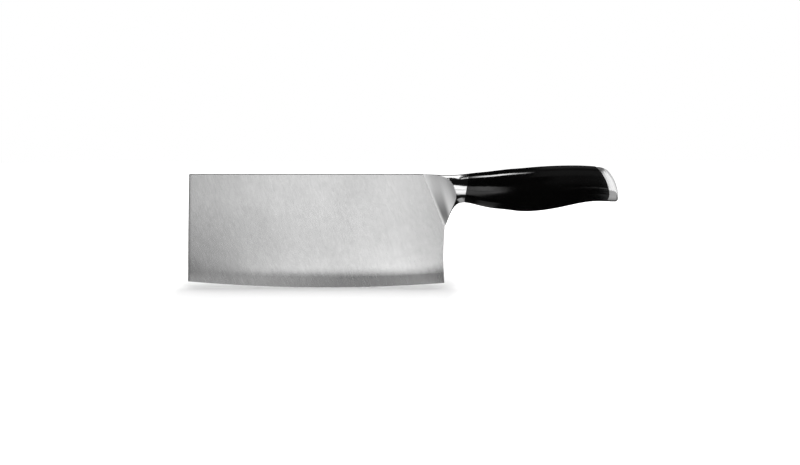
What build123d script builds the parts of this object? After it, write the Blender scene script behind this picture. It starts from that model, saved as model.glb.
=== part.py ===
"""Chinese cleaver: a tall ground blade, a forged bolster, a moulded grip in two shells and a steel end cap.

Frame, in millimetres: +Z is up towards the spine and the cutting edge faces down. -X is the tip end and +X the
butt of the handle. Y runs across the blade, whose middle plane is y = 0. The origin lies under the middle of the
length, level with the lowest point of the curved edge. Left is the -Y side.

How it is held together:
- The blade plate ends along a slanted line. Behind that line it carries a thin tenon, brazed into the bolster.
- The bolster is one forging: hollow-ground cheeks, neck, choil, and at its back a spigot that centres the grip.
- The tang is a flat bar, welded into a blind socket in the bolster. It runs through the grip and ends in a stud.
- The grip is two moulded shells, joined by a tongue, dowels and glue, with ribs that hold the tang.
- A washer and a nut on the stud pull the grip against the bolster. The end cap covers them, on two press pins.
"""
import math
import os

from build123d import *

# --- Blade: driving dimensions ---------------------------------------------------------------------------------
TIP_X = -151.2              # lower corner of the tip end
TIP_TOP_X = -149.9          # upper corner of the tip end
TIP_BULGE_X = -150.85       # the tip end is very slightly bowed
SPINE_Z = 79.8              # top of the blade above the lowest point of the edge
SPINE_THICKNESS = 2.2
SPINE_ROUND = 0.35
EDGE_RADIUS = 1122.0        # belly of the cutting edge, seen from the side
EDGE_LOW_X = -54.3          # where the belly touches a flat board
HEEL_X = 29.2               # lower corner of the heel
HEEL_HOLLOW_X = 28.7        # the heel's end is very slightly hollow
CORNER_ROUND = 0.5          # tip and heel corners, seen from the side

# --- Blade: ground section, half of it on each side of the middle plane -----------------------------------------
SIDE_TAPER = math.radians(0.26)     # each flat side leans in towards the edge
BEVEL_ANGLE = math.radians(3.2)     # flat part of the bevel
BEVEL_HEIGHT = 7.5          # top of the flat part, above the edge
BLEND_HEIGHT = 15.0         # top of the rounded blend between the bevel and the flat side
BLEND_ANGLE = math.radians(0.76)    # slope with which the blend runs out through the flat side
HONED_HEIGHT = 0.6
HONED_HALF = 0.16           # half thickness at the top of the honed edge
LAND_HALF = 0.03            # half thickness left at the very edge

# --- Joint between blade and bolster: a slanted line across the blade's upper rear corner ------------------------
SLANT_TOP = (14.1, SPINE_Z)
SLANT_FOOT = (29.5, 41.8)
TENON_THICKNESS = 1.1
TENON_OUTLINE = ((0, 7), (10.5, 7), (10.5, 14), (4.5, 29), (0, 29))     # across and along the slanted line

# --- Bolster -----------------------------------------------------------------------------------------------------
CHEEK_RADIUS = 28.0         # hollow-ground cheeks, left by a wheel held along the slanted line
CHEEK_ENTRY = math.radians(5.0)     # angle at which a cheek leaves the blade's flat side
SEAM_TOP = (46.4, 80.2)     # joint between bolster and grip, seen from the side
SEAM_FOOT = (43.2, 59.8)
SEAM_CHAMFER = 0.3
SPIGOT_LENGTH = 2.5
SPIGOT_WIDTH = 10.0
SPIGOT_HEIGHT = 13.0
SPIGOT_ROUND = 2.0
SPIGOT_CLEARANCE = 0.1

# --- Tang, stud, nut and washer -----------------------------------------------------------------------------------
TANG_Z = 71.4               # centre line of the tang
TANG_THICKNESS = 3.0
TANG_FRONT_X = 37.5
TANG_TAPER_X = 52.0         # where the bar starts to narrow
TANG_BACK_X = 124.0
TANG_FRONT_HEIGHT = 9.0
TANG_BACK_HEIGHT = 7.0
TANG_CLEARANCE = 0.05       # between the bar and the ribs
STUD_RADIUS = 2.5           # M5
STUD_END_X = 139.2
STUD_POINT = 0.5            # chamfer on the stud's end
NUT_ACROSS_FLATS = 8.0
NUT_HEIGHT = 4.7
NUT_CHAMFER = (0.4, 0.75)   # along and across the nut's corners
WASHER_RADIUS = 5.0
WASHER_THICKNESS = 1.0
CLEARANCE_RADIUS = 2.65     # hole for the stud in the washer and the bulkhead

# --- Grip shells ----------------------------------------------------------------------------------------------------
WALL = 2.6
FRONT_BLOCK_END_X = 50.0
BULKHEAD_FRONT_X = 127.0
NUT_SEAT_X = 132.0
NUT_POCKET_RADIUS = 6.2
RIB_THICKNESS = 1.8
RIB_COUNT = 5
RIB_FIRST_X = 62.0
RIB_PITCH = 13.0
DOWELS = ((68.5, 60.4), (94.5, 59.6), (107.5, 79.6), (120.5, 64.2))     # x and z of the moulded dowels
DOWEL_RADIUS = 1.6
DOWEL_LENGTH = 3.5
DOWEL_BOSS_RADIUS = 3.0
JOINT_CLEARANCE = 0.05      # round the dowels and the tongue
TONGUE_FROM_X = 52.0
TONGUE_TO_X = 125.0
TONGUE_OUTER = 0.95         # depth of the tongue's two sides below the grip's surface
TONGUE_INNER = 1.75
TONGUE_RISE = 0.7

# --- End cap -----------------------------------------------------------------------------------------------------------
CAP_SEAM_CENTRE = (114.65, 63.6)    # main arc of the joint between grip and cap, seen from the side
CAP_SEAM_RADIUS = 29.7
CAP_SEAM_TURN_Z = 66.4      # below this height the joint turns in on a smaller arc
CAP_SEAM_FOOT_RADIUS = 8.0
CAP_SHOULDER_CENTRE = (137.0, 74.3)     # upper rear corner of the cap
CAP_SHOULDER_RADIUS = 10.4
CAP_BACK_CENTRE = (124.7, 63.8)
CAP_BACK_RADIUS = 26.5
CAP_PLAN_RADIUS = 22.0      # curvature of the cap's back, seen from above
CAP_RIM_ROUND = 2.2
CAP_RIM_BEHIND_X = 146.0    # only the rim of the cap's back reaches behind this
CAP_PLUG_LENGTH = 2.6
CAP_PLUG_CLEARANCE = 0.1
STUD_RELIEF_RADIUS = 3.2
PIN_RADIUS = 1.25
PIN_LENGTH = 9.0
PIN_DEPTH_IN_CAP = 4.0
PIN_CHAMFER = 0.25
PIN_Z = {"upper": 79.5, "lower": 63.3}

# --- Form of neck, grip and cap: one smooth body, later cut into the three pieces -------------------------------------
# Each station is a closed section square to the side view, through a top and a bottom point of the outline.
# Columns: top x, top z, bottom x, bottom z, half width, roundness above, roundness below, height of widest point.
# A roundness of 2 is an ellipse and more is boxier. The widest point is a share of the height, from the bottom.
NECK_STATIONS = (
    (*SLANT_TOP, *SLANT_FOOT, 8.2, 2.6, 1.9, 0.82),
    (25.0, 79.2, 30.6, 45.0, 8.2, 2.6, 1.9, 0.80),
    (33.0, 79.0, 33.4, 52.0, 8.3, 2.6, 2.0, 0.72),
    (38.5, 79.3, 36.9, 57.5, 8.5, 2.6, 2.1, 0.62),
    (42.6, 79.7, 39.9, 59.4, 8.65, 2.6, 2.15, 0.54),
)
GRIP_STATIONS = (
    (*SEAM_TOP, *SEAM_FOOT, 8.8, 2.6, 2.2, 0.50),
    (54.2, 81.05, 53.0, 57.85, 9.3, 2.6, 2.2, 0.50),
    (66.0, 82.35, 66.0, 55.45, 10.2, 2.5, 2.2, 0.51),
    (80.0, 83.75, 80.0, 53.85, 10.9, 2.4, 2.2, 0.52),
    (94.0, 84.95, 94.0, 53.9, 11.1, 2.3, 2.2, 0.52),
    (109.0, 85.75, 109.0, 56.1, 10.8, 2.25, 2.2, 0.50),
    (124.5, 85.85, 124.5, 59.4, 10.35, 2.25, 2.2, 0.46),
    (138.6, 84.8, 138.6, 60.75, 9.95, 2.25, 2.2, 0.43),
    (154.0, 82.0, 154.0, 60.9, 8.2, 2.25, 2.2, 0.42),
)
SECTION_POINTS = 24         # points round a section, worked out from its formula
SPARE = 400.0               # larger than the object, for shapes that only cut


# --- Small helpers --------------------------------------------------------------------------------------------------
def at_side(x, z, y=0.0):
    """Point at x and z of the side view, and at y across the blade."""
    return Vector(x, y, z)


def prism(outline, half_width):
    """Solid made by pushing a closed outline of the side view both ways across the blade."""
    return extrude(make_face(outline), half_width, dir=(0, 1, 0), both=True)


def box_between(low, high):
    """Box from its lowest to its highest corner."""
    sizes = [b - a for a, b in zip(low, high)]
    middles = [(a + b) / 2 for a, b in zip(low, high)]
    return Pos(*middles) * Box(*sizes)


def rod_along_x(x_start, x_end, radius, z=TANG_Z):
    """Round bar along the handle, on the middle plane."""
    placed = Plane(origin=(x_start, 0, z), x_dir=(0, 1, 0), z_dir=(1, 0, 0))
    return extrude(placed * Circle(radius), x_end - x_start)


def rod_along_y(x, z, y_start, y_end, radius):
    """Round bar across the handle."""
    placed = Plane(origin=(x, y_start, z), x_dir=(1, 0, 0), z_dir=(0, 1, 0))
    return extrude(placed * Circle(radius), y_end - y_start)


def on_circle(centre, radius, angle):
    """Point of a circle of the side view, as x and z."""
    return centre[0] + radius * math.cos(angle), centre[1] + radius * math.sin(angle)


def arc_between(centre, radius, start_angle, end_angle):
    """Arc of the side view, given by its two end angles."""
    angles = (start_angle, (start_angle + end_angle) / 2, end_angle)
    return ThreePointArc(*[at_side(*on_circle(centre, radius, a)) for a in angles])


def closed_by_lines(*edges_and_points):
    """Face from arcs and corner points in order round an outline, with straight lines between them."""
    starts = [item @ 0 if isinstance(item, Edge) else at_side(*item) for item in edges_and_points]
    ends = [item @ 1 if isinstance(item, Edge) else at_side(*item) for item in edges_and_points]
    edges = [item for item in edges_and_points if isinstance(item, Edge)]
    for end, start in zip(ends, starts[1:] + starts[:1]):
        if (end - start).length > 1e-6:
            edges.append(Line(end, start))
    return Face(Wire(edges))


# --- Form of the handle ---------------------------------------------------------------------------------------------
def form_section(station, inset=0.0):
    """Section wire of one station: a superellipse, boxier above its widest point than below it."""
    top_x, top_z, foot_x, foot_z, half_width, above, below, widest = station
    top, foot = at_side(top_x, top_z), at_side(foot_x, foot_z)
    up = (top - foot).normalized()
    top, foot = top - up * inset, foot + up * inset
    height = (top - foot).length
    centre = foot + up * (height * widest)

    def on_section(turn):
        rise, reach = math.sin(turn), math.cos(turn)
        power, span = (above, height * (1 - widest)) if rise > 0 else (below, height * widest)
        lift = math.copysign(abs(rise) ** (2 / power), rise) * span
        aside = math.copysign(abs(reach) ** (2 / power), reach) * (half_width - inset)
        return centre + up * lift + Vector(0, aside, 0)

    turns = [2 * math.pi * i / SECTION_POINTS - math.pi / 2 for i in range(SECTION_POINTS)]
    return Wire([Spline(*[on_section(turn) for turn in turns], periodic=True)])


def neck_form():
    """Outside of the forging, from the slanted joint to a little way behind the seam."""
    return Solid.make_loft([form_section(s) for s in (*NECK_STATIONS, *GRIP_STATIONS[:3])])


def grip_form(inset=0.0):
    """Outside of grip and cap, or a surface at a depth below it."""
    return Solid.make_loft([form_section(s, inset) for s in (*NECK_STATIONS[-2:], *GRIP_STATIONS)])


def seam_plane():
    """Plane of the joint between bolster and grip. Its normal points to the butt."""
    top, foot = at_side(*SEAM_TOP), at_side(*SEAM_FOOT)
    up = (top - foot).normalized()
    return Plane(origin=(top + foot) / 2, x_dir=(0, 1, 0), z_dir=Vector(up.Z, 0, -up.X))


# --- Blade --------------------------------------------------------------------------------------------------------------
def edge_z(x):
    """Height of the curved cutting edge at x."""
    return EDGE_RADIUS - math.sqrt(EDGE_RADIUS**2 - (x - EDGE_LOW_X) ** 2)


def side_half(z):
    """Half thickness between the flat sides at height z."""
    return SPINE_THICKNESS / 2 - (SPINE_Z - z) * math.tan(SIDE_TAPER)


def slant_axes():
    """Unit vectors of the side view: across the slanted joint towards the handle, and along it downwards."""
    along = (at_side(*SLANT_FOOT) - at_side(*SLANT_TOP)).normalized()
    return Vector(-along.Z, 0, along.X), along


def blade_outline():
    """Side view of the plate, from the tip to the heel and the slanted joint, with its corners broken."""
    tip_low, heel_low = (TIP_X, edge_z(TIP_X)), (HEEL_X, edge_z(HEEL_X))
    tip_top = (TIP_TOP_X, SPINE_Z)
    face = Face(Wire([
        ThreePointArc(at_side(*tip_low), at_side(TIP_BULGE_X, SPINE_Z / 2), at_side(*tip_top)),
        Line(at_side(*tip_top), at_side(*SLANT_TOP)),
        Line(at_side(*SLANT_TOP), at_side(*SLANT_FOOT)),
        ThreePointArc(at_side(*SLANT_FOOT), at_side(HEEL_HOLLOW_X, SPINE_Z / 4), at_side(*heel_low)),
        ThreePointArc(at_side(*heel_low), at_side(EDGE_LOW_X, 0), at_side(*tip_low)),
    ]))
    corners = [at_side(*corner) for corner in (tip_low, tip_top, heel_low)]
    broken = [v for v in face.vertices() if min((Vector(v) - corner).length for corner in corners) < CORNER_ROUND]
    return face.fillet_2d(CORNER_ROUND, broken)


def ground_form():
    """Ring sector with the bevels' section, turned about the centre of the curved edge."""
    honed_slope = (HONED_HALF - LAND_HALF) / HONED_HEIGHT
    below_edge = LAND_HALF / honed_slope / 2
    bevel_top_half = HONED_HALF + (BEVEL_HEIGHT - HONED_HEIGHT) * math.tan(BEVEL_ANGLE)
    blend_mean_slope = math.tan((BEVEL_ANGLE + BLEND_ANGLE) / 2)
    blend_top_half = bevel_top_half + (BLEND_HEIGHT - BEVEL_HEIGHT) * blend_mean_slope
    top = SPINE_Z * 1.2
    top_half = blend_top_half + (top - BLEND_HEIGHT) * math.tan(BLEND_ANGLE)

    def corner(height, side, half):
        return Vector(EDGE_LOW_X, side * half, height)

    def flank(side):
        bevel_top = corner(BEVEL_HEIGHT, side, bevel_top_half)
        blend_top = corner(BLEND_HEIGHT, side, blend_top_half)
        bevel_direction = (0, side * math.sin(BEVEL_ANGLE), math.cos(BEVEL_ANGLE))
        return [
            Line(corner(-below_edge, side, LAND_HALF / 2), corner(HONED_HEIGHT, side, HONED_HALF)),
            Line(corner(HONED_HEIGHT, side, HONED_HALF), bevel_top),
            TangentArc(bevel_top, blend_top, tangent=bevel_direction),
            Line(blend_top, corner(top, side, top_half)),
        ]

    section = Face(Wire([
        *flank(1),
        *flank(-1),
        Line(corner(-below_edge, 1, LAND_HALF / 2), corner(-below_edge, -1, LAND_HALF / 2)),
        Line(corner(top, 1, top_half), corner(top, -1, top_half)),
    ]))
    axis = Axis((EDGE_LOW_X, 0, EDGE_RADIUS), (0, 1, 0))
    half_swing = 1.4 * math.degrees((EDGE_LOW_X - TIP_X) / EDGE_RADIUS)
    return revolve(section.rotate(axis, -half_swing), axis, 2 * half_swing)


def flat_sided_slab():
    """Slab with the two leaning flat sides and the rounded spine."""
    low = -SPINE_THICKNESS
    corners = [(side_half(low), low), (side_half(SPINE_Z), SPINE_Z)]
    corners += [(-y, z) for y, z in reversed(corners)]
    section = make_face(Polyline(*[(TIP_X - 1, y, z) for y, z in corners], close=True))
    slab = extrude(section, SPARE, dir=(1, 0, 0))
    return fillet(slab.edges().filter_by(Axis.X).group_by(Axis.Z)[-1], SPINE_ROUND)


def tenon():
    """Thin tongue behind the slanted joint, which the bolster holds."""
    across, along = slant_axes()
    corners = [at_side(*SLANT_TOP) + across * a + along * b for a, b in TENON_OUTLINE]
    return prism(Polyline(*corners, close=True), TENON_THICKNESS / 2)


def make_blade():
    plate = extrude(blade_outline(), SPINE_THICKNESS, dir=(0, 1, 0), both=True)
    return ((plate & flat_sided_slab() & ground_form()) + tenon()).solid()


# --- Bolster ----------------------------------------------------------------------------------------------------------
def cheek_wheel(side):
    """Cylinder that grinds one cheek. It meets the blade's flat side along the slanted joint."""
    face_top = at_side(*SLANT_TOP, side * side_half(SLANT_TOP[1]))
    face_foot = at_side(*SLANT_FOOT, side * side_half(SLANT_FOOT[1]))
    along = (face_foot - face_top).normalized()
    across, _ = slant_axes()
    outward = along.cross(across).normalized() * side
    if outward.Y * side < 0:
        outward = outward * -1
    away, back = CHEEK_RADIUS * math.cos(CHEEK_ENTRY), CHEEK_RADIUS * math.sin(CHEEK_ENTRY)
    centre = face_top + outward * away - across * back
    return extrude(Plane(origin=centre - along * SPINE_Z, z_dir=along) * Circle(CHEEK_RADIUS), 3 * SPINE_Z)


def tang_socket():
    """Blind socket in the bolster, filled by the front of the tang."""
    half_height = TANG_FRONT_HEIGHT / 2
    return box_between(
        (TANG_FRONT_X, -TANG_THICKNESS / 2, TANG_Z - half_height),
        (TANG_TAPER_X, TANG_THICKNESS / 2, TANG_Z + half_height),
    )


def spigot(growth=0.0):
    """Raised block on the bolster's back that centres the grip, or with growth the pocket for it."""
    plane = seam_plane()
    centre = plane.to_local_coords(at_side(SEAM_TOP[0], TANG_Z)).Y
    outline = Pos(0, centre) * RectangleRounded(SPIGOT_WIDTH + 2 * growth, SPIGOT_HEIGHT + 2 * growth, SPIGOT_ROUND)
    return extrude(plane * outline, SPIGOT_LENGTH + growth)


def make_bolster(blade):
    behind_seam = extrude(seam_plane() * Rectangle(SPARE, SPARE), SPARE)
    forging = neck_form() - behind_seam
    back_rim = forging.faces().sort_by(Axis.X)[-1].edges()
    forging = chamfer(back_rim, SEAM_CHAMFER)
    forging = forging - cheek_wheel(1) - cheek_wheel(-1) + spigot()
    return (forging - tang_socket() - blade).solid()


# --- Tang and its fasteners -------------------------------------------------------------------------------------------
def tang_bar(clearance=0.0):
    """Flat bar of the tang, or with clearance the slot for it."""
    front, back = TANG_FRONT_HEIGHT / 2 + clearance, TANG_BACK_HEIGHT / 2 + clearance
    upper = ((TANG_FRONT_X, front), (TANG_TAPER_X, front), (TANG_BACK_X + clearance, back))
    corners = [(x, TANG_Z + rise) for x, rise in upper] + [(x, TANG_Z - rise) for x, rise in reversed(upper)]
    outline = Polyline(*[at_side(*corner) for corner in corners], close=True)
    return prism(outline, TANG_THICKNESS / 2 + clearance)


def make_tang():
    stud = rod_along_x(TANG_BACK_X - STUD_RADIUS, STUD_END_X, STUD_RADIUS)
    stud = chamfer(stud.edges().sort_by(Axis.X)[-1], STUD_POINT)
    return (tang_bar() + stud).solid()


def make_washer():
    ring = rod_along_x(NUT_SEAT_X, NUT_SEAT_X + WASHER_THICKNESS, WASHER_RADIUS)
    return (ring - rod_along_x(NUT_SEAT_X, NUT_SEAT_X + WASHER_THICKNESS, CLEARANCE_RADIUS)).solid()


def make_nut():
    start_x = NUT_SEAT_X + WASHER_THICKNESS
    corner_radius = NUT_ACROSS_FLATS / 2 / math.cos(math.pi / 6)
    placed = Plane(origin=(start_x, 0, TANG_Z), x_dir=(0, 1, 0), z_dir=(1, 0, 0))
    hexagon = extrude(placed * RegularPolygon(corner_radius, 6), NUT_HEIGHT)
    turned = rod_along_x(start_x, start_x + NUT_HEIGHT, corner_radius)
    turned = chamfer(turned.edges().filter_by(GeomType.CIRCLE), *NUT_CHAMFER)
    return ((hexagon & turned) - rod_along_x(start_x, start_x + NUT_HEIGHT, STUD_RADIUS)).solid()


# --- Joint between grip and cap -----------------------------------------------------------------------------------------
def cap_seam_arcs():
    """Centre, radius, start angle and end angle of the joint's two arcs: the large one, then the small one below."""
    turn_angle = math.asin((CAP_SEAM_TURN_Z - CAP_SEAM_CENTRE[1]) / CAP_SEAM_RADIUS)
    foot_centre = on_circle(CAP_SEAM_CENTRE, CAP_SEAM_RADIUS - CAP_SEAM_FOOT_RADIUS, turn_angle)
    return (
        (CAP_SEAM_CENTRE, CAP_SEAM_RADIUS, math.radians(70), turn_angle),
        (foot_centre, CAP_SEAM_FOOT_RADIUS, turn_angle, math.radians(-60)),
    )


def cap_seam_x(z):
    """Where the joint between grip and cap lies at height z."""
    upper, lower = cap_seam_arcs()
    (centre_x, centre_z), radius = upper[:2] if z >= CAP_SEAM_TURN_Z else lower[:2]
    return centre_x + math.sqrt(radius**2 - (z - centre_z) ** 2)


def ahead_of_cap():
    """Everything in front of the joint between grip and cap."""
    upper, lower = [arc_between(*arc) for arc in cap_seam_arcs()]
    low_x, high_x = (lower @ 1).X, (upper @ 0).X
    low, high = SEAM_FOOT[1] / 2, (upper @ 0).Z
    face = closed_by_lines(upper, lower, (low_x, low), (0, low), (0, high), (high_x - 1, high))
    return extrude(face, SPARE / 2, dir=(0, 1, 0), both=True)


def press_pin(level):
    """Round bar of a press pin, half in the grip and half in the cap."""
    end_x = cap_seam_x(PIN_Z[level]) + PIN_DEPTH_IN_CAP
    return rod_along_x(end_x - PIN_LENGTH, end_x, PIN_RADIUS, z=PIN_Z[level])


def make_press_pin(level):
    pin = press_pin(level)
    return chamfer(pin.edges().filter_by(GeomType.CIRCLE), PIN_CHAMFER).solid()


# --- Grip shells --------------------------------------------------------------------------------------------------------
def grip_hollow():
    """Space inside the grip. Ribs, dowel bosses and the end blocks are left standing."""
    half = SPARE / 2
    hollow = grip_form(WALL) & box_between((FRONT_BLOCK_END_X, -half, 0), (BULKHEAD_FRONT_X, half, half))
    for i in range(RIB_COUNT):
        middle = RIB_FIRST_X + i * RIB_PITCH
        start, end = middle - RIB_THICKNESS / 2, middle + RIB_THICKNESS / 2
        hollow = hollow - box_between((start, -half, 0), (end, half, half))
    for x, z in DOWELS:
        hollow = hollow - rod_along_y(x, z, -half, half, DOWEL_BOSS_RADIUS)
    return hollow


def tongue(clearance=0.0):
    """Two strips along the top and bottom walls, one rising from the left shell into the right one."""
    ring = grip_form(TONGUE_OUTER - clearance) - grip_form(TONGUE_INNER + clearance)
    low = (TONGUE_FROM_X - clearance, -TONGUE_RISE, 0)
    high = (TONGUE_TO_X + clearance, TONGUE_RISE + clearance, SPARE)
    return ring & box_between(low, high)


def grip_body():
    """Both shells in one, with the pockets for the spigot, tang, stud, nut and pins."""
    ahead_of_seam = extrude(seam_plane() * Rectangle(SPARE, SPARE), -SPARE)
    body = (grip_form() - ahead_of_seam) & ahead_of_cap()
    body = body - grip_hollow() - spigot(SPIGOT_CLEARANCE) - tang_bar(TANG_CLEARANCE)
    body = body - rod_along_x(TANG_BACK_X, NUT_SEAT_X, CLEARANCE_RADIUS)
    body = body - rod_along_x(NUT_SEAT_X, CAP_SEAM_CENTRE[0] + CAP_SEAM_RADIUS + 1, NUT_POCKET_RADIUS)
    return body - press_pin("upper") - press_pin("lower")


def make_grip_shells():
    body = grip_body()
    half = SPARE / 2
    left = body & box_between((0, -half, 0), (SPARE, 0, SPARE))
    right = body & box_between((0, 0, 0), (SPARE, half, SPARE))
    for x, z in DOWELS:
        left = left + rod_along_y(x, z, -DOWEL_LENGTH, DOWEL_LENGTH, DOWEL_RADIUS)
        socket_end, socket_radius = DOWEL_LENGTH + JOINT_CLEARANCE, DOWEL_RADIUS + JOINT_CLEARANCE
        right = right - rod_along_y(x, z, 0, socket_end, socket_radius)
    return (left + tongue()).solid(), (right - tongue(JOINT_CLEARANCE)).solid()


# --- End cap --------------------------------------------------------------------------------------------------------------
def cap_outside():
    """Body whose curved outside is the cap's shoulder and back: arcs of the side view, turned about an upright axis."""
    shoulder_x, shoulder_z = CAP_SHOULDER_CENTRE
    join_angle = math.atan2(shoulder_z - CAP_BACK_CENTRE[1], shoulder_x - CAP_BACK_CENTRE[0])
    shoulder = arc_between(CAP_SHOULDER_CENTRE, CAP_SHOULDER_RADIUS, math.radians(100), join_angle)
    join = shoulder @ 1
    back_start = math.atan2(join.Z - CAP_BACK_CENTRE[1], join.X - CAP_BACK_CENTRE[0])
    back_middle = on_circle(CAP_BACK_CENTRE, CAP_BACK_RADIUS, back_start / 2)
    back_end = on_circle(CAP_BACK_CENTRE, CAP_BACK_RADIUS, math.radians(-15))
    back = ThreePointArc(join, at_side(*back_middle), at_side(*back_end))
    axis_x = CAP_BACK_CENTRE[0] + CAP_BACK_RADIUS - CAP_PLAN_RADIUS
    face = closed_by_lines(shoulder, back, (axis_x, back_end[1]), (axis_x, (shoulder @ 0).Z))
    return revolve(face, Axis((axis_x, 0, 0), (0, 0, 1)), 360)


def make_end_cap():
    cap = (grip_form() & cap_outside()) - ahead_of_cap()
    boxes = [(edge, edge.bounding_box()) for edge in cap.edges()]
    rim = [edge for edge, box in boxes if box.size.Y > PIN_RADIUS and box.max.X > CAP_RIM_BEHIND_X]
    cap = fillet(rim, CAP_RIM_ROUND)
    plug_radius = NUT_POCKET_RADIUS - CAP_PLUG_CLEARANCE
    plug_front = cap_seam_x(TANG_Z + plug_radius) - CAP_PLUG_LENGTH
    plug = rod_along_x(plug_front, plug_front + 2 * CAP_PLUG_LENGTH, plug_radius)
    relief = rod_along_x(plug_front, STUD_END_X + STUD_POINT, STUD_RELIEF_RADIUS)
    return (cap + plug - relief - press_pin("upper") - press_pin("lower")).solid()


def make_parts():
    """Every separate piece of the cleaver, by name."""
    blade = make_blade()
    shell_left, shell_right = make_grip_shells()
    parts = {
        "blade": blade,
        "bolster": make_bolster(blade),
        "tang": make_tang(),
        "tang_washer": make_washer(),
        "tang_nut": make_nut(),
        "grip_shell_left": shell_left,
        "grip_shell_right": shell_right,
        "end_cap": make_end_cap(),
    }
    for level in PIN_Z:
        parts[f"cap_pin_{level}"] = make_press_pin(level)
    return parts


if __name__ == "__main__":
    os.makedirs("parts", exist_ok=True)
    for name, shape in make_parts().items():
        export_step(shape, f"parts/{name}.step")
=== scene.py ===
"""Chinese cleaver: finishes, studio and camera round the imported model.

Frame, in metres: +X along the handle towards its butt, +Y away from the viewer, +Z up to the spine. The
blade stands on its curved edge at z = 0.
"""
from __future__ import annotations

import logging
import math
from dataclasses import dataclass, field
from enum import Enum

import bpy
import numpy as np
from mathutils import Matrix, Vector

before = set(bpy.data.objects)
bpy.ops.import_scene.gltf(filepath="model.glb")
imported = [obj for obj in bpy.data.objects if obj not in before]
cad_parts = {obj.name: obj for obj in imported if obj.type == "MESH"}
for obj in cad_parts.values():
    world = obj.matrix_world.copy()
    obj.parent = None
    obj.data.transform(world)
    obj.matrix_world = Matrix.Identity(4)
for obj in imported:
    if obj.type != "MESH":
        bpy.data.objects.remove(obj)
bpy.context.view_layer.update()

MM = 0.001
TINY = 1e-6
# A spacing so wide, in metres, that a pattern stays the same along its axis.
EVEN = 1.0
WHITE = (1.0, 1.0, 1.0, 1.0)
FORMAT = "%(levelname)s %(message)s"
logger = logging.getLogger("cleaver")


class Level(Enum):
    """What a level on the tent means."""

    RISE = "angle of rise on the wall, in degrees"
    DISTANCE = "distance from the blade's middle plane on the floor, in metres"


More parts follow.
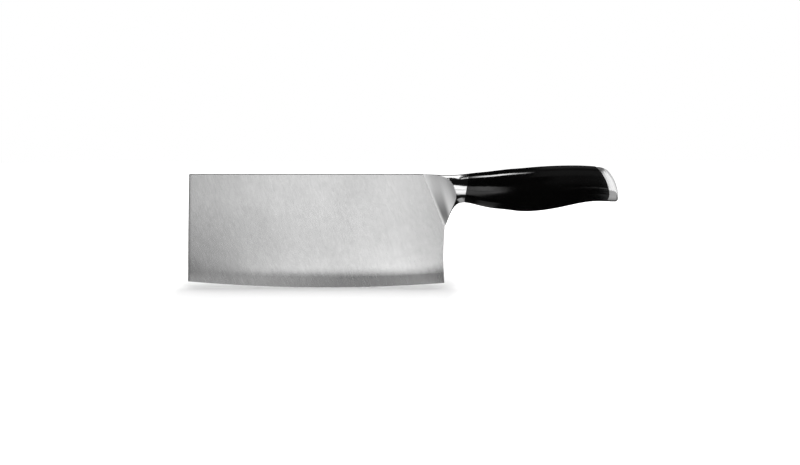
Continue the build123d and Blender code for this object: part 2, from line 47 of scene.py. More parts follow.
# --- Wiring of shader nodes -----------------------------------------------------------------------
class Bench:
    """Adds and wires the shader nodes of one material or world."""

    def __init__(self, tree: bpy.types.NodeTree) -> None:
        """Empties the node tree of a material or of the world and keeps it."""
        self.tree = tree
        tree.nodes.clear()

    def add(self, kind: str, **settings: object) -> bpy.types.Node:
        """Adds one node.

        Args:
            kind: Blender's name of the node type.
            settings: attributes that are set on the node.

        Returns:
            The new node.
        """
        node = self.tree.nodes.new(kind)
        for name, value in settings.items():
            setattr(node, name, value)
        return node

    def plug(self, socket: bpy.types.NodeSocket, value: object) -> None:
        """Fills an input.

        Args:
            socket: the input.
            value: an output of another node, which is wired to it, or a plain value, which is set on it.
        """
        if isinstance(value, bpy.types.NodeSocket):
            self.tree.links.new(value, socket)
        else:
            socket.default_value = value

    def work_out(self, kind: str, output: int | str, operation: str, values: tuple) -> bpy.types.NodeSocket:
        """Adds a node of arithmetic and fills its inputs in order.

        Args:
            kind: Blender's name of the node type.
            output: name or number of the wanted output.
            operation: Blender's name of the operation.
            values: what goes into the inputs.

        Returns:
            The output.
        """
        node = self.add(kind, operation=operation)
        for socket, value in zip(node.inputs, values):
            self.plug(socket, value)
        return node.outputs[output]

    def sum_up(self, operation: str, *values: object) -> bpy.types.NodeSocket:
        """Result of a Math node for up to three values."""
        return self.work_out("ShaderNodeMath", 0, operation, values)

    def vector(self, operation: str, *values: object) -> bpy.types.NodeSocket:
        """Vector result of a Vector Math node."""
        return self.work_out("ShaderNodeVectorMath", "Vector", operation, values)

    def measure(self, operation: str, *values: object) -> bpy.types.NodeSocket:
        """Plain number from a Vector Math node, such as a length or a dot product."""
        return self.work_out("ShaderNodeVectorMath", "Value", operation, values)

    def axes(self, vector: object) -> tuple:
        """Takes a vector apart.

        Args:
            vector: the vector.

        Returns:
            Its x, y and z.
        """
        node = self.add("ShaderNodeSeparateXYZ")
        self.plug(node.inputs[0], vector)
        return tuple(node.outputs)

    def fade(
        self, value: object, start: float, end: float, low: float = 0.0, high: float = 1.0
    ) -> bpy.types.NodeSocket:
        """Smooth step between two results. The start may be above the end.

        Args:
            value: what is compared.
            start: value up to which the result is low.
            end: value from which the result is high.
            low: result at the start.
            high: result at the end.

        Returns:
            The result.
        """
        node = self.add("ShaderNodeMapRange", interpolation_type="SMOOTHSTEP")
        names = ("Value", "From Min", "From Max", "To Min", "To Max")
        for name, item in zip(names, (value, start, end, low, high)):
            self.plug(node.inputs[name], item)
        return node.outputs[0]

    def spread(self, value: object, low: float, high: float) -> bpy.types.NodeSocket:
        """Straight line between two results.

        Args:
            value: number from 0 to 1.
            low: result where the number is 0.
            high: result where the number is 1.

        Returns:
            The result.
        """
        node = self.add("ShaderNodeMapRange")
        for name, item in (("Value", value), ("To Min", low), ("To Max", high)):
            self.plug(node.inputs[name], item)
        return node.outputs[0]

    def swing(self, value: object, middle: float, reach: float) -> bpy.types.NodeSocket:
        """Straight line about a middle result, by a reach to either side, for a value from 0 to 1."""
        return self.spread(value, middle - reach, middle + reach)

    def place(self) -> bpy.types.NodeSocket:
        """Position on the object, in metres, in the frame of the whole model."""
        return self.add("ShaderNodeTexCoord").outputs["Object"]

    def turned(self, vector: object, turn: tuple, stretch: tuple) -> bpy.types.NodeSocket:
        """Measures a position along turned axes, each in a unit of its own.

        Args:
            vector: the position.
            turn: angles of the axes about x, y and z, in radians.
            stretch: unit of each axis, in metres.

        Returns:
            The position in those units.
        """
        node = self.add("ShaderNodeMapping", vector_type="TEXTURE")
        self.plug(node.inputs["Vector"], vector)
        node.inputs["Rotation"].default_value = turn
        node.inputs["Scale"].default_value = stretch
        return node.outputs[0]

    def noise(self, vector: object, detail: float, roughness: float) -> bpy.types.NodeSocket:
        """Smooth noise, about 1 unit of the vector from one bump to the next.

        Args:
            vector: where the noise is read.
            detail: number of finer layers.
            roughness: strength of each finer layer against the one before.

        Returns:
            A number from 0 to 1.
        """
        node = self.add("ShaderNodeTexNoise")
        values = (vector, 1.0, detail, roughness)
        for name, value in zip(("Vector", "Scale", "Detail", "Roughness"), values):
            self.plug(node.inputs[name], value)
        return node.outputs[0]

    def blend(self, factor: object, first: object, second: object) -> bpy.types.NodeSocket:
        """Mixes two numbers.

        Args:
            factor: 0 for the first number, 1 for the second.
            first: the first number.
            second: the second number.

        Returns:
            The mixed number.
        """
        node = self.add("ShaderNodeMix", data_type="FLOAT")
        for index, value in ((0, factor), (2, first), (3, second)):
            self.plug(node.inputs[index], value)
        return node.outputs[0]

    def grey(self, value: object) -> bpy.types.NodeSocket:
        """Neutral colour.

        Args:
            value: its brightness.

        Returns:
            The colour.
        """
        node = self.add("ShaderNodeCombineColor")
        for socket in node.inputs:
            self.plug(socket, value)
        return node.outputs[0]

    def bump(self, height: object, depth: float, strength: float) -> bpy.types.NodeSocket:
        """Roughens a surface.

        Args:
            height: height of the relief, from 0 to 1.
            depth: distance between the heights 0 and 1, in metres.
            strength: share of the relief that shows.

        Returns:
            The surface normal.
        """
        node = self.add("ShaderNodeBump")
        for name, value in (("Strength", strength), ("Distance", depth), ("Height", height)):
            self.plug(node.inputs[name], value)
        return node.outputs[0]

    def seen(self) -> bpy.types.NodeSocket:
        """Tells the rays that look at things from those that light them.

        Returns:
            1 for rays from the camera, from mirrors and through glass, otherwise 0.
        """
        path = self.add("ShaderNodeLightPath")
        seen = self.sum_up("ADD", path.outputs["Is Camera Ray"], path.outputs["Is Glossy Ray"])
        return self.sum_up("MINIMUM", self.sum_up("ADD", seen, path.outputs["Is Transmission Ray"]), 1.0)

    def surface(
        self, shade: object, rough: object, normal: object, metallic: float = 1.0
    ) -> bpy.types.Node:
        """Adds a shader of a hard surface.

        Args:
            shade: brightness of its neutral colour.
            rough: its roughness.
            normal: its surface normal.
            metallic: 1 for bare metal, 0 for plastic.

        Returns:
            The shader's node.
        """
        shader = self.add("ShaderNodeBsdfPrincipled")
        self.plug(shader.inputs["Base Color"], self.grey(shade))
        self.plug(shader.inputs["Roughness"], rough)
        self.plug(shader.inputs["Normal"], normal)
        shader.inputs["Metallic"].default_value = metallic
        return shader

    def glow(self, strength: object) -> bpy.types.NodeSocket:
        """Shader that gives off white light.

        Args:
            strength: how much.

        Returns:
            The shader's output.
        """
        node = self.add("ShaderNodeEmission")
        self.plug(node.inputs["Strength"], strength)
        return node.outputs[0]

    def finish(self, shader: bpy.types.NodeSocket, kind: str = "ShaderNodeOutputMaterial") -> None:
        """Wires a shader to the output."""
        self.plug(self.add(kind).inputs["Surface"], shader)


@dataclass(frozen=True)
class Grain:
    """Noise on a surface.

    The spacing of its bumps is given for three axes, in metres. Detail is the number of finer layers and
    roughness their strength. Swing is how far the noise moves a brightness to either side, and turn is how
    the axes lie on the object.
    """

    spacing: tuple
    detail: float
    roughness: float
    swing: float = 0.0
    turn: tuple = (0.0, 0.0, 0.0)

    def pattern(self, bench: Bench, place: bpy.types.NodeSocket) -> bpy.types.NodeSocket:
        """Noise from 0 to 1 at a position on the object."""
        return bench.noise(bench.turned(place, self.turn, self.spacing), self.detail, self.roughness)

    def sway(self, bench: Bench, place: bpy.types.NodeSocket) -> bpy.types.NodeSocket:
        """Noise about 0, from minus the swing to plus the swing."""
        return bench.swing(self.pattern(bench, place), 0.0, self.swing)


def new_material(name: str) -> tuple[bpy.types.Material, Bench]:
    """Starts a material.

    Args:
        name: name of the material.

    Returns:
        The empty node material and the bench to wire it on.
    """
    material = bpy.data.materials.new(name)
    material.use_nodes = True
    return material, Bench(material.node_tree)


def mesh_object(name: str, points: list, faces: list, material: bpy.types.Material) -> bpy.types.Object:
    """Adds a mesh to the scene.

    Args:
        name: name of the object.
        points: its points, in metres.
        faces: its faces, as rows of point numbers.
        material: its finish.

    Returns:
        The object.
    """
    mesh = bpy.data.meshes.new(name)
    mesh.from_pydata(points, [], faces)
    mesh.materials.append(material)
    piece = bpy.data.objects.new(name, mesh)
    bpy.context.scene.collection.objects.link(piece)
    return piece


def grid_object(name: str, grid: np.ndarray, material: bpy.types.Material) -> bpy.types.Object:
    """Adds a sheet with one four-sided face between each four neighbours of a grid.

    Args:
        name: name of the object.
        grid: points as an array of rows, columns and the three coordinates.
        material: its finish.

    Returns:
        The object.
    """
    rows, columns = grid.shape[:2]
    index = np.arange(rows * columns).reshape(rows, columns)
    corners = [index[:-1, :-1], index[:-1, 1:], index[1:, 1:], index[1:, :-1]]
    faces = np.stack(corners, axis=-1).reshape(-1, 4)
    return mesh_object(name, grid.reshape(-1, 3).tolist(), faces.tolist(), material)


def only_in_mirrors(sheet: bpy.types.Object) -> None:
    """Makes a sheet of the stage visible to reflections only.

    Args:
        sheet: the sheet's object.
    """
    for sight in ("camera", "diffuse", "shadow", "transmission", "volume_scatter"):
        setattr(sheet, f"visible_{sight}", False)


# --- Driving sizes, as in the model's source, in metres -------------------------------------------
@dataclass(frozen=True)
class EdgeArc:
    """The curved cutting edge: an arc of the side view, lowest at low_x.

    The ground band above it is full up to the bevel's height and gone at the blend's.
    """

    low_x: float = -54.3 * MM
    radius: float = 1122.0 * MM
    bevel: float = 7.5 * MM
    blend: float = 15.0 * MM

    def height(self, bench: Bench, place: bpy.types.NodeSocket) -> bpy.types.NodeSocket:
        """Height above the edge: the radius less the distance from the arc's centre.

        Args:
            bench: bench of the blade's material.
            place: position on the object.

        Returns:
            The height in metres.
        """
        flat = bench.vector("MULTIPLY", place, (1.0, 0.0, 1.0))
        reach = bench.measure("DISTANCE", flat, (self.low_x, 0.0, self.radius))
        return bench.sum_up("SUBTRACT", self.radius, reach)


@dataclass(frozen=True)
class Slant:
    """The slanted joint between blade and bolster, and the wheel that hollowed the cheeks along it.

    Top and foot are the joint's ends as x and z. At the joint the wheel's surface is half_top from the
    blade's middle plane and turns away from it at the entry angle.
    """

    top: tuple = (14.1 * MM, 79.8 * MM)
    foot: tuple = (29.5 * MM, 41.8 * MM)
    wheel_radius: float = 28.0 * MM
    entry: float = math.radians(5.0)
    half_top: float = 1.1 * MM

    @property
    def lean(self) -> float:
        """Angle of the joint from the vertical, in radians, its top leaning towards the tip."""
        return math.atan2(self.foot[0] - self.top[0], self.top[1] - self.foot[1])

    @property
    def turn(self) -> tuple:
        """Turn that lays a pattern's z axis along the joint."""
        return (0.0, -self.lean, 0.0)

    @property
    def along(self) -> Vector:
        """Unit vector down the joint."""
        return Vector((math.sin(self.lean), 0.0, -math.cos(self.lean)))

    @property
    def across(self) -> Vector:
        """Unit vector square to the joint, towards the handle."""
        return Vector((math.cos(self.lean), 0.0, math.sin(self.lean)))

    def wheel_centre(self) -> Vector:
        """Works out where the wheel stood that ground the cheek on the -Y side.

        Returns:
            A point of the wheel's axis.
        """
        away = self.wheel_radius * math.cos(self.entry)
        back = self.wheel_radius * math.sin(self.entry)
        start = Vector((self.top[0], -self.half_top, self.top[1]))
        return start + Vector((0.0, -away, 0.0)) - self.across * back


EDGE = EdgeArc()
SLANT = Slant()
TIP_X = -151.2 * MM
TIP_TOP_X = -149.9 * MM
SPINE_Z = 79.8 * MM


# --- Finishes -------------------------------------------------------------------------------------
@dataclass(frozen=True)
class Finish:
    """A material worked out from Object coordinates."""

    name: str

    def make(self) -> bpy.types.Material:
        """Builds the material. Each finish has its own."""
        raise NotImplementedError(self.name)


@dataclass(frozen=True)
class SatinBlade(Finish):
    """Satin steel, brushed along the slanted joint, with a finer ground band above the edge.

    Each zone, and the rim, is a pair of distances: where its change begins and where it is full. The sides
    get a painted highlight towards the heel and painted shade at the tip, and the narrow rim faces are
    painted dark as shade.
    """

    name: str = "satin_blade"
    grey: float = 0.62
    band_grey: float = 0.56
    roughness: float = 0.26
    roughness_swing: float = 0.04
    anisotropy: float = 0.7
    lines: Grain = Grain((1.1 * MM, EVEN, 7.0 * MM), 3.0, 0.6, 0.06, SLANT.turn)
    hairs: Grain = Grain((0.25 * MM, EVEN, 21.0 * MM), 2.0, 0.6, 0.03, SLANT.turn)
    patches: Grain = Grain((34.0 * MM, EVEN, 54.4 * MM), 2.5, 0.75, 0.11, SLANT.turn)
    mottles: Grain = Grain((2.8 * MM, EVEN, 4.48 * MM), 2.0, 0.55, 0.065, SLANT.turn)
    scratch_depth: float = 0.012 * MM
    scratch_strength: float = 0.15
    heel_zone: tuple = (-50.0 * MM, 20.0 * MM)
    heel_painted_light: float = 0.17
    tip_zone: tuple = (2.4 * MM, 0.3 * MM)
    tip_painted_shade: float = 0.17
    rim: tuple = (0.45 * MM, 0.225 * MM)
    rim_painted_shade: float = 0.20
    rim_roughness: float = 0.45

    def from_tip(self, bench: Bench, place: bpy.types.NodeSocket) -> bpy.types.NodeSocket:
        """Distance from the straight line of the tip's end, which leans towards the handle.

        Args:
            bench: bench of the blade's material.
            place: position on the object.

        Returns:
            The distance in metres.
        """
        lean = math.atan2(TIP_TOP_X - TIP_X, SPINE_Z)
        start = bench.vector("SUBTRACT", place, (TIP_X, 0.0, 0.0))
        return bench.measure("DOT_PRODUCT", start, (math.cos(lean), 0.0, -math.sin(lean)))

    def shade(self, bench: Bench, place: bpy.types.NodeSocket) -> bpy.types.NodeSocket:
        """Brightness of the brushed sides: body and ground band, with a painted highlight towards the heel
        and painted shade at the tip.

        Args:
            bench: bench of the blade's material.
            place: position on the object.

        Returns:
            The brightness.
        """
        band = bench.fade(EDGE.height(bench, place), EDGE.blend, EDGE.bevel)
        shade = bench.blend(band, self.grey, self.band_grey)
        # Painted highlight: the sides are lighter towards the heel.
        heel_highlight = bench.fade(bench.axes(place)[0], *self.heel_zone, 0.0, self.heel_painted_light)
        grains = (self.lines, self.hairs, self.patches, self.mottles)
        for change in (heel_highlight, *(grain.sway(bench, place) for grain in grains)):
            shade = bench.sum_up("ADD", shade, change)
        # Painted shade: the sides are darker at the tip's end.
        tip_shade = bench.fade(self.from_tip(bench, place), *self.tip_zone, 0.0, self.tip_painted_shade)
        return bench.sum_up("SUBTRACT", shade, tip_shade)

    def make(self) -> bpy.types.Material:
        """Builds the material. The narrow spine and tip faces stay rougher, as they came from cutting, and
        are painted dark as shade.

        Returns:
            The material.
        """
        material, bench = new_material(self.name)
        place = bench.place()
        below_spine = bench.sum_up("SUBTRACT", SPINE_Z, bench.axes(place)[2])
        nearest = bench.sum_up("MINIMUM", below_spine, self.from_tip(bench, place))
        # The narrow spine and tip faces: rougher, and painted dark as shade.
        rim_mask = bench.fade(nearest, *self.rim)
        rough = bench.swing(self.hairs.pattern(bench, place), self.roughness, self.roughness_swing)
        lines = self.lines.pattern(bench, place)
        shader = bench.surface(
            bench.blend(rim_mask, self.shade(bench, place), self.rim_painted_shade),
            bench.blend(rim_mask, rough, self.rim_roughness),
            bench.bump(lines, self.scratch_depth, self.scratch_strength),
        )
        shader.inputs["Anisotropic"].default_value = self.anisotropy
        tangent = bench.add("ShaderNodeTangent", direction_type="RADIAL", axis="Z")
        bench.plug(shader.inputs["Tangent"], tangent.outputs[0])
        bench.finish(shader.outputs[0])
        return material


@dataclass(frozen=True)
class ForgedBolster(Finish):
    """Mirror-polished neck with satin hollow cheeks, with painted shade in the hollow.

    The distance from the axis of the grinding wheel tells them apart.
    """

    name: str = "polished_bolster"
    neck_grey: float = 0.80
    neck_roughness: float = 0.08
    neck_roughness_swing: float = 0.03
    cheek_grey: float = 0.66
    cheek_roughness: float = 0.30
    cheek_roughness_swing: float = 0.05
    cheek_edge: tuple = (0.30 * MM, 0.12 * MM)
    lines: Grain = Grain((0.7 * MM, EVEN, 9.0 * MM), 3.0, 0.6, 0.05, SLANT.turn)
    wipes: Grain = Grain((14.0 * MM, 14.0 * MM, 20.0 * MM), 2.0, 0.45, turn=SLANT.turn)
    scratch_depth: float = 0.02 * MM
    scratch_strength: float = 0.5
    hollow_start: tuple = (0.0, 2.2 * MM)
    hollow_end: tuple = (11.0 * MM, 7.5 * MM)
    hollow_lean: float = 0.12
    hollow_levels: tuple = (76.0 * MM, 50.0 * MM)
    hollow_shade: tuple = (0.06, 0.74)

    def hollow(self, bench: Bench, place: bpy.types.NodeSocket) -> bpy.types.NodeSocket:
        """Painted shade in the hollow of the cheek, deepest at its foot.

        It sets in just behind the slanted joint and ends before the curved polish line. The end comes
        sooner lower down, in proportion to the drop below the upper level.

        Args:
            bench: bench of the bolster's material.
            place: position on the object.

        Returns:
            Share of the cheek's brightness that is taken away as painted shade.
        """
        start = bench.vector("SUBTRACT", place, (SLANT.top[0], 0.0, SLANT.top[1]))
        across = bench.measure("DOT_PRODUCT", start, tuple(SLANT.across))
        height = bench.axes(place)[2]
        drop = bench.sum_up("SUBTRACT", self.hollow_levels[0], height)
        skewed = bench.sum_up("MULTIPLY_ADD", drop, self.hollow_lean, across)
        begun = bench.fade(across, *self.hollow_start)
        inside = bench.sum_up("MULTIPLY", begun, bench.fade(skewed, *self.hollow_end))
        return bench.sum_up("MULTIPLY", inside, bench.fade(height, *self.hollow_levels, *self.hollow_shade))

    def ground(self, bench: Bench, place: bpy.types.NodeSocket) -> bpy.types.NodeSocket:
        """Tells cheek from neck: the cheek's surface is one wheel radius from the axis on its own side.

        Args:
            bench: bench of the bolster's material.
            place: position on the object.

        Returns:
            1 on the cheeks and 0 elsewhere.
        """
        left = bench.vector("MULTIPLY", bench.vector("ABSOLUTE", place), (0.0, -1.0, 0.0))
        folded = bench.vector("ADD", bench.vector("MULTIPLY", place, (1.0, 0.0, 1.0)), left)
        offset = bench.vector("SUBTRACT", folded, tuple(SLANT.wheel_centre()))
        reach = bench.measure("LENGTH", bench.vector("CROSS_PRODUCT", offset, tuple(SLANT.along)))
        gap = bench.sum_up("ABSOLUTE", bench.sum_up("SUBTRACT", reach, SLANT.wheel_radius))
        return bench.fade(gap, *self.cheek_edge)

    def make(self) -> bpy.types.Material:
        """Builds the material.

        Returns:
            The material.
        """
        material, bench = new_material(self.name)
        place = bench.place()
        cheek = self.ground(bench, place)
        lines = self.lines.pattern(bench, place)
        wipes = self.wipes.pattern(bench, place)
        # Painted shade darkens the cheek's satin grey in its hollow.
        unshaded = bench.sum_up("SUBTRACT", 1.0, self.hollow(bench, place))
        satin = bench.swing(lines, self.cheek_grey, self.lines.swing)
        cheek_rough = bench.swing(lines, self.cheek_roughness, self.cheek_roughness_swing)
        neck_rough = bench.swing(wipes, self.neck_roughness, self.neck_roughness_swing)
        scratches = bench.sum_up("MULTIPLY", lines, cheek)
        shader = bench.surface(
            bench.blend(cheek, self.neck_grey, bench.sum_up("MULTIPLY", satin, unshaded)),
            bench.blend(cheek, neck_rough, cheek_rough),
            bench.bump(scratches, self.scratch_depth, self.scratch_strength),
        )
        bench.finish(shader.outputs[0])
        return material


@dataclass(frozen=True)
class PolishedSteel(Finish):
    """Polished steel with faint wipe marks."""

    name: str = "polished_cap"
    grey: float = 0.82
    roughness: float = 0.12
    roughness_swing: float = 0.04
    marks: Grain = Grain((6.0 * MM, 6.0 * MM, 12.0 * MM), 4.0, 0.55, 0.02)
    mark_depth: float = 0.01 * MM
    mark_strength: float = 0.3

    def make(self) -> bpy.types.Material:
        """Builds the material.

        Returns:
            The material.
        """
        material, bench = new_material(self.name)
        marks = self.marks.pattern(bench, bench.place())
        shader = bench.surface(
            bench.swing(marks, self.grey, self.marks.swing),
            bench.swing(marks, self.roughness, self.roughness_swing),
            bench.bump(marks, self.mark_depth, self.mark_strength),
        )
        bench.finish(shader.outputs[0])
        return material


@dataclass(frozen=True)
class MachinedSteel(Finish):
    """Plain steel as the machine left it, with fine marks square to the handle."""

    name: str = "machined_steel"
    grey: float = 0.50
    roughness: float = 0.38
    roughness_swing: float = 0.08
    rings: Grain = Grain((0.25 * MM, 6.0 * MM, 6.0 * MM), 3.0, 0.6, 0.06)
    stains: Grain = Grain((5.0 * MM, 5.0 * MM, 5.0 * MM), 3.0, 0.5, 0.05)
    ring_depth: float = 0.02 * MM
    ring_strength: float = 0.6

    def make(self) -> bpy.types.Material:
        """Builds the material.

        Returns:
            The material.
        """
        material, bench = new_material(self.name)
        place = bench.place()
        rings = self.rings.pattern(bench, place)
        clean = bench.swing(rings, self.grey, self.rings.swing)
        shader = bench.surface(
            bench.sum_up("ADD", clean, self.stains.sway(bench, place)),
            bench.swing(rings, self.roughness, self.roughness_swing),
            bench.bump(rings, self.ring_depth, self.ring_strength),
        )
        bench.finish(shader.outputs[0])
        return material


@dataclass(frozen=True)
class GlossBlack(Finish):
    """Glossy black moulded plastic with a trace of moulding ripple and hand wear.

    The greys and the roughnesses are pairs, for the least and the most worn places.
    """

    name: str = "gloss_black"
    greys: tuple = (0.00075, 0.00225)
    roughnesses: tuple = (0.07, 0.12)
    refraction: float = 1.5
    ripple: Grain = Grain((18.0 * MM, 9.0 * MM, 9.0 * MM), 1.0, 0.4)
    wear: Grain = Grain((16.0 * MM, 16.0 * MM, 16.0 * MM), 4.0, 0.6)
    ripple_depth: float = 0.001 * MM
    ripple_strength: float = 0.2

    def make(self) -> bpy.types.Material:
        """Builds the material.

        Returns:
            The material.
        """
        material, bench = new_material(self.name)
        place = bench.place()
        ripple = self.ripple.pattern(bench, place)
        wear = self.wear.pattern(bench, place)
        shader = bench.surface(
            bench.spread(wear, *self.greys),
            bench.spread(wear, *self.roughnesses),
            bench.bump(ripple, self.ripple_depth, self.ripple_strength),
            metallic=0.0,
        )
        shader.inputs["IOR"].default_value = self.refraction
        bench.finish(shader.outputs[0])
        return material


# --- Studio ---------------------------------------------------------------------------------------
@dataclass(frozen=True)
class Panel:
    """Soft-edged rectangle of light on the tent.

    It lies between two places along x and between two levels. On the wall a level is the angle of rise in
    degrees, 0 at the floor and 90 straight up. On the floor it is the distance from the blade's middle
    plane in metres. Each soft width belongs to one end, and the glow fades out across it.
    """

    glow: float
    along: tuple
    levels: tuple
    soft_along: tuple = (0.05, 0.05)
    soft_levels: tuple = (0.0, 0.0)
    far_glow: float | None = None

    def between(self, bench: Bench, value: object, ends: tuple, soft: tuple) -> bpy.types.NodeSocket:
        """Product of a smooth rise at one end and a smooth fall at the other.

        Args:
            bench: bench of the cloth's material.
            value: place or level.
            ends: where the panel begins and ends.
            soft: width of the fade at either end.

        Returns:
            1 inside the ends and 0 outside.
        """
        rise, fall = soft[0] / 2, soft[1] / 2
        after = bench.fade(value, ends[0] - rise, ends[0] + rise + TINY)
        before = bench.fade(value, ends[1] + fall + TINY, ends[1] - fall)
        return bench.sum_up("MULTIPLY", after, before)

    def light(self, bench: Bench, x: object, near: object, far: object) -> bpy.types.NodeSocket:
        """Glow of the panel and of its mirror image on the far side.

        Args:
            bench: bench of the cloth's material.
            x: place along the tent.
            near: level on the viewer's side.
            far: level on the far side.

        Returns:
            The glow.
        """
        far_glow = self.glow if self.far_glow is None else self.far_glow
        both = 0.0
        for level, glow in ((near, self.glow), (far, far_glow)):
            inside = self.between(bench, level, self.levels, self.soft_levels)
            both = bench.sum_up("MULTIPLY_ADD", inside, glow, both)
        return bench.sum_up("MULTIPLY", self.between(bench, x, self.along, self.soft_along), both)


@dataclass(frozen=True)
class Tent:
    """Tunnel of dark cloth over the object, along x, with panels of light. Only reflections see it.

    The wall is half a cylinder about the line where the blade meets the floor. The floor cloth lies
    inside it.
    """

    wall_panels: tuple
    floor_panels: tuple
    radius: float = 0.6
    half_length: float = 0.8
    heel_highlight: float = 0.2 * MM
    base: float = 0.006
    rows: int = 64

    def wall(self) -> np.ndarray:
        """Grid of the wall: y and z follow half a circle of the radius, x runs from end to end.

        Returns:
            The points, as rows, columns and coordinates.
        """
        ends = np.array([-self.half_length, self.half_length])
        x, turn = np.meshgrid(ends, np.linspace(0.0, np.pi, self.rows))
        return np.stack([x, -self.radius * np.cos(turn), self.radius * np.sin(turn)], axis=-1)

    def ground(self) -> np.ndarray:
        """Grid of the floor cloth: a flat rectangle between the feet of the wall.

        Returns:
            The points, as rows, columns and coordinates.
        """
        ends = np.array([-self.half_length, self.half_length])
        x, y = np.meshgrid(ends, np.array([-self.radius, self.radius]))
        return np.stack([x, y, np.full_like(x, self.heel_highlight)], axis=-1)

    def cloth(self, name: str, panels: tuple, levels: Level) -> bpy.types.Material:
        """Adds up the panels over the dark cloth. By way of the blade they throw no light on the floor.

        Args:
            name: name of the material.
            panels: the panels of light.
            levels: what the panels' levels mean.

        Returns:
            The cloth's material.
        """
        material, bench = new_material(name)
        x, y, z = bench.axes(bench.place())
        near, far = bench.sum_up("MULTIPLY", y, -1.0), y
        if levels is Level.RISE:
            near, far = (bench.sum_up("DEGREES", bench.sum_up("ARCTAN2", z, side)) for side in (near, far))
        glow = self.base
        for panel in panels:
            glow = bench.sum_up("ADD", glow, panel.light(bench, x, near, far))
        depth = bench.add("ShaderNodeLightPath").outputs["Diffuse Depth"]
        direct = bench.sum_up("SUBTRACT", 1.0, bench.sum_up("MINIMUM", depth, 1.0))
        bench.finish(bench.glow(bench.sum_up("MULTIPLY", glow, direct)))
        return material

    def build(self) -> list[bpy.types.Object]:
        """Adds wall and floor cloth.

        Returns:
            The two sheets.
        """
        wall_cloth = self.cloth("wall_cloth", self.wall_panels, Level.RISE)
        floor_cloth = self.cloth("floor_cloth", self.floor_panels, Level.DISTANCE)
        sheets = [
            grid_object("tent_wall", self.wall(), wall_cloth),
            grid_object("tent_floor", self.ground(), floor_cloth),
        ]
        for sheet in sheets:
            only_in_mirrors(sheet)
        return sheets


@dataclass(frozen=True)
class Card:
    """Small flat sheet of light above the handle. Only reflections see it.

    It is so near that the neck and the grip, side by side, each see a card of their own. The corners are
    pairs of x and y.
    """

    name: str
    corners: tuple
    glow: float
    brightens: tuple
    darkens: tuple
    height: float = 140.0 * MM

    def build(self) -> bpy.types.Object:
        """Adds the sheet. Its glow is a smooth rise times a smooth fall along x.

        Returns:
            The sheet's object.
        """
        material, bench = new_material(self.name)
        x = bench.axes(bench.place())[0]
        lit = bench.sum_up("MULTIPLY", bench.fade(x, *self.brightens), bench.fade(x, *self.darkens))
        bench.finish(bench.glow(bench.sum_up("MULTIPLY", lit, self.glow)))
        points = [(*corner, self.height) for corner in self.corners]
        sheet = mesh_object(self.name, points, [list(range(len(points)))], material)
        only_in_mirrors(sheet)
        return sheet


@dataclass(frozen=True)
class Softbox:
    """Large soft lamp above the object and a little behind it, long across it.

    Mirrors see the tent instead of it.
    """

    x: float = -50.0 * MM
    behind: float = 0.15
    height: float = 0.75
    along: float = 0.8
    across: float = 2.4
    power: float = 14.8

    def build(self) -> bpy.types.Object:
        """Adds the lamp.

        Returns:
            The lamp's object.
        """
        data = bpy.data.lights.new("softbox", "AREA")
        data.shape = "RECTANGLE"
        data.size = self.along
        data.size_y = self.across
        data.energy = self.power
        lamp = bpy.data.objects.new("softbox", data)
        lamp.location = (self.x, self.behind, self.height)
        lamp.visible_glossy = False
        lamp.visible_camera = False
        bpy.context.scene.collection.objects.link(lamp)
        return lamp


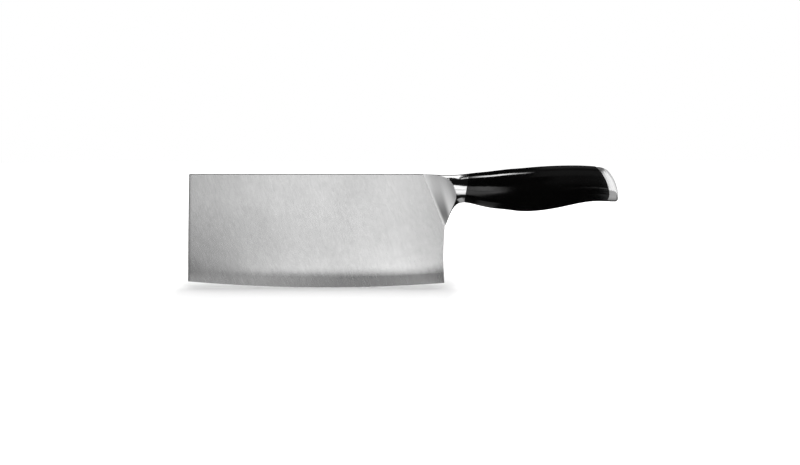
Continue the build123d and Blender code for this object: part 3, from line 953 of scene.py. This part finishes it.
@dataclass(frozen=True)
class Studio:
    """White floor and surroundings, and the camera.

    Near the object the floor is white by the light on it alone. Outside an oval it glows as well. The
    zone is the oval's middle and its half-lengths. The glow sets in between two shares of them.
    """

    world_level: float = 0.15
    floor_radius: float = 3.0
    floor_sides: int = 96
    floor_grey: float = 0.90
    far_lift: float = 0.95
    zone: tuple = (-61.0 * MM, 115.0 * MM, 380.0 * MM)
    zone_edge: tuple = (0.80, 1.10)
    aim: tuple = (-2.0 * MM, 0.0, 38.7 * MM)
    elevation: float = math.radians(3.5)
    distance: float = 1.5625
    lens: float = 100.0
    sensor: float = 36.0

    def world(self) -> None:
        """White to the rays that look at things, and a plain level for the light on surfaces."""
        world = bpy.data.worlds.new("studio")
        bpy.context.scene.world = world
        world.use_nodes = True
        bench = Bench(world.node_tree)
        skies = []
        for level in (self.world_level, 1.0):
            sky = bench.add("ShaderNodeBackground")
            sky.inputs["Color"].default_value = WHITE
            sky.inputs["Strength"].default_value = level
            skies.append(sky.outputs[0])
        mix = bench.add("ShaderNodeMixShader")
        for socket, value in zip(mix.inputs, (bench.seen(), *skies)):
            bench.plug(socket, value)
        bench.finish(mix.outputs[0], "ShaderNodeOutputWorld")

    def floor_material(self) -> bpy.types.Material:
        """White cloth, with a glow outside the oval for the rays that look at it.

        Returns:
            The floor's material.
        """
        material, bench = new_material("white_floor")
        cloth = bench.add("ShaderNodeBsdfDiffuse")
        cloth.inputs["Color"].default_value = (self.floor_grey, self.floor_grey, self.floor_grey, 1.0)
        middle, half_x, half_y = self.zone
        offset = bench.vector("SUBTRACT", bench.place(), (middle, 0.0, 0.0))
        away = bench.measure("LENGTH", bench.vector("MULTIPLY", offset, (1 / half_x, 1 / half_y, 0.0)))
        level = bench.fade(away, *self.zone_edge, 0.0, self.far_lift)
        both = bench.add("ShaderNodeAddShader")
        bench.plug(both.inputs[0], cloth.outputs[0])
        bench.plug(both.inputs[1], bench.glow(bench.sum_up("MULTIPLY", bench.seen(), level)))
        bench.finish(both.outputs[0])
        return material

    def floor(self) -> bpy.types.Object:
        """Adds the round floor under the edge: its corners stand at even angles on a circle of the radius.

        Returns:
            The floor's object.
        """
        turn = np.linspace(0.0, 2 * np.pi, self.floor_sides, endpoint=False)
        corners = np.stack([np.cos(turn), np.sin(turn), np.zeros_like(turn)], axis=-1) * self.floor_radius
        ring = list(range(self.floor_sides))
        floor = mesh_object("floor", corners.tolist(), [ring], self.floor_material())
        return floor

    def camera(self) -> bpy.types.Object:
        """Adds the camera, on the left side of the blade and a little above its middle.

        Returns:
            The camera's object.
        """
        data = bpy.data.cameras.new("camera")
        data.lens = self.lens
        data.sensor_width = self.sensor
        camera = bpy.data.objects.new("camera", data)
        bpy.context.scene.collection.objects.link(camera)
        back = Vector((0.0, -math.cos(self.elevation), math.sin(self.elevation)))
        camera.location = Vector(self.aim) + back * self.distance
        camera.rotation_mode = "QUATERNION"
        camera.rotation_quaternion = (-back).to_track_quat("-Z", "Y")
        bpy.context.scene.camera = camera
        return camera

    def build(self) -> None:
        """Sets up world, floor and camera."""
        bpy.context.scene.view_settings.view_transform = "Standard"
        self.world()
        self.floor()
        self.camera()


# What the blade's flat side sees comes first, and what the grip and the cap see comes last.
WALL_PANELS = (
    Panel(1.75, (-0.180, 0.020), (-5.0, 10.5), (0.08, 0.09), (0.0, 2.0)),
    Panel(0.30, (-0.850, -0.185), (-5.0, 14.0), (0.05, 0.10), (0.0, 8.0)),
    Panel(0.06, (0.050, 0.285), (80.0, 90.0), (0.05, 0.01), (4.0, 0.2)),
    Panel(0.90, (0.285, 0.850), (82.0, 90.0), (0.01, 0.05), (4.0, 0.2)),
    Panel(0.15, (0.100, 0.285), (46.0, 80.0), (0.04, 0.02), (8.0, 6.0)),
    Panel(0.07, (0.150, 0.285), (12.0, 46.0), (0.04, 0.02), (24.0, 8.0)),
    Panel(1.10, (0.285, 0.850), (-5.0, 82.0), (0.01, 0.05), (0.0, 4.0), far_glow=0.65),
)
# The blade's lower side, the neck, the ground band, the choil and the cap see these, in that order.
# Next to the blade the floor cloth stays dim: painted shadow of the floor, as mirrors see it.
FLOOR_PANELS = (
    Panel(1.15, (-0.120, 0.020), (0.300, 0.650), (0.10, 0.09)),
    Panel(1.28, (-0.120, 0.020), (0.057, 0.300), (0.10, 0.02), (0.004, 0.0)),
    Panel(0.26, (-0.850, -0.120), (0.050, 0.650), (0.05, 0.10), (0.03, 0.0)),
    Panel(1.15, (0.020, 0.036), (0.095, 0.650), (0.02, 0.015), (0.04, 0.0)),
    Panel(0.50, (-0.850, -0.060), (-0.650, 0.046), (0.05, 0.08), (0.0, 0.006), far_glow=0.0),
    Panel(0.34, (-0.060, 0.030), (-0.650, 0.036), (0.08, 0.02), (0.0, 0.006), far_glow=0.0),
    Panel(0.36, (0.041, 0.060), (-0.080, 0.034), (0.005, 0.01), (0.03, 0.006), far_glow=0.0),
    Panel(1.10, (0.205, 0.850), (0.230, 0.650), (0.01, 0.05), (0.02, 0.0)),
    Panel(0.43, (0.172, 0.850), (0.120, 0.230), (0.012, 0.05), (0.02, 0.02), far_glow=0.0),
    Panel(0.42, (0.157, 0.850), (0.060, 0.120), (0.008, 0.05), (0.02, 0.02), far_glow=0.0),
    Panel(0.42, (0.147, 0.850), (-0.030, 0.060), (0.006, 0.05), (0.12, 0.02), far_glow=0.0),
)
NECK_CARD = Card(
    "neck_card",
    ((37.5 * MM, -34.0 * MM), (37.5 * MM, 95.0 * MM), (23.0 * MM, 95.0 * MM)),
    glow=1.4,
    brightens=(18.0 * MM, 23.0 * MM),
    darkens=(37.9 * MM, 37.3 * MM),
)
GRIP_CARD = Card(
    "grip_card",
    (
        (37.0 * MM, -40.0 * MM),
        (62.0 * MM, -33.0 * MM),
        (95.0 * MM, -27.0 * MM),
        (95.0 * MM, -16.0 * MM),
        (62.0 * MM, -15.0 * MM),
        (37.0 * MM, -14.0 * MM),
    ),
    glow=18.0,
    brightens=(37.0 * MM, 56.0 * MM),
    darkens=(94.0 * MM, 62.0 * MM),
)


# --- Sub-assemblies -------------------------------------------------------------------------------
@dataclass(frozen=True)
class Assembly:
    """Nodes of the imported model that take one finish."""

    nodes: tuple
    finish: Finish

    def dress(self, node: str, material: bpy.types.Material) -> bpy.types.Object:
        """Gives one node its finish.

        Args:
            node: name of the node.
            material: its finish.

        Returns:
            The node's object.
        """
        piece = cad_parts[node]
        piece.data.materials.clear()
        piece.data.materials.append(material)
        return piece

    def build(self) -> list[bpy.types.Object]:
        """Dresses all the nodes."""
        material = self.finish.make()
        return [self.dress(node, material) for node in self.nodes]


@dataclass(frozen=True)
class Blade(Assembly):
    """The brushed plate."""

    nodes: tuple = ("blade",)
    finish: Finish = field(default_factory=SatinBlade)


@dataclass(frozen=True)
class Bolster(Assembly):
    """The forging between blade and grip."""

    nodes: tuple = ("bolster",)
    finish: Finish = field(default_factory=ForgedBolster)


@dataclass(frozen=True)
class Grip(Assembly):
    """The two moulded shells."""

    nodes: tuple = ("grip_shell_left", "grip_shell_right")
    finish: Finish = field(default_factory=GlossBlack)


@dataclass(frozen=True)
class EndCap(Assembly):
    """The cap at the butt."""

    nodes: tuple = ("end_cap",)
    finish: Finish = field(default_factory=PolishedSteel)


@dataclass(frozen=True)
class Hardware(Assembly):
    """What holds the handle together, all of it hidden."""

    nodes: tuple = ("tang", "tang_washer", "tang_nut", "cap_pin_upper", "cap_pin_lower")
    finish: Finish = field(default_factory=MachinedSteel)


def main() -> None:
    """Builds studio and sub-assemblies in order and reports each piece."""
    logging.basicConfig(level=logging.INFO, format=FORMAT)
    Studio().build()
    for light in (Tent(WALL_PANELS, FLOOR_PANELS), Softbox(), NECK_CARD, GRIP_CARD):
        light.build()
    for assembly in (Blade(), Bolster(), Grip(), EndCap(), Hardware()):
        for piece in assembly.build():
            logger.info("%s: %d faces", piece.name, len(piece.data.polygons))


if __name__ == "__main__":
    main()
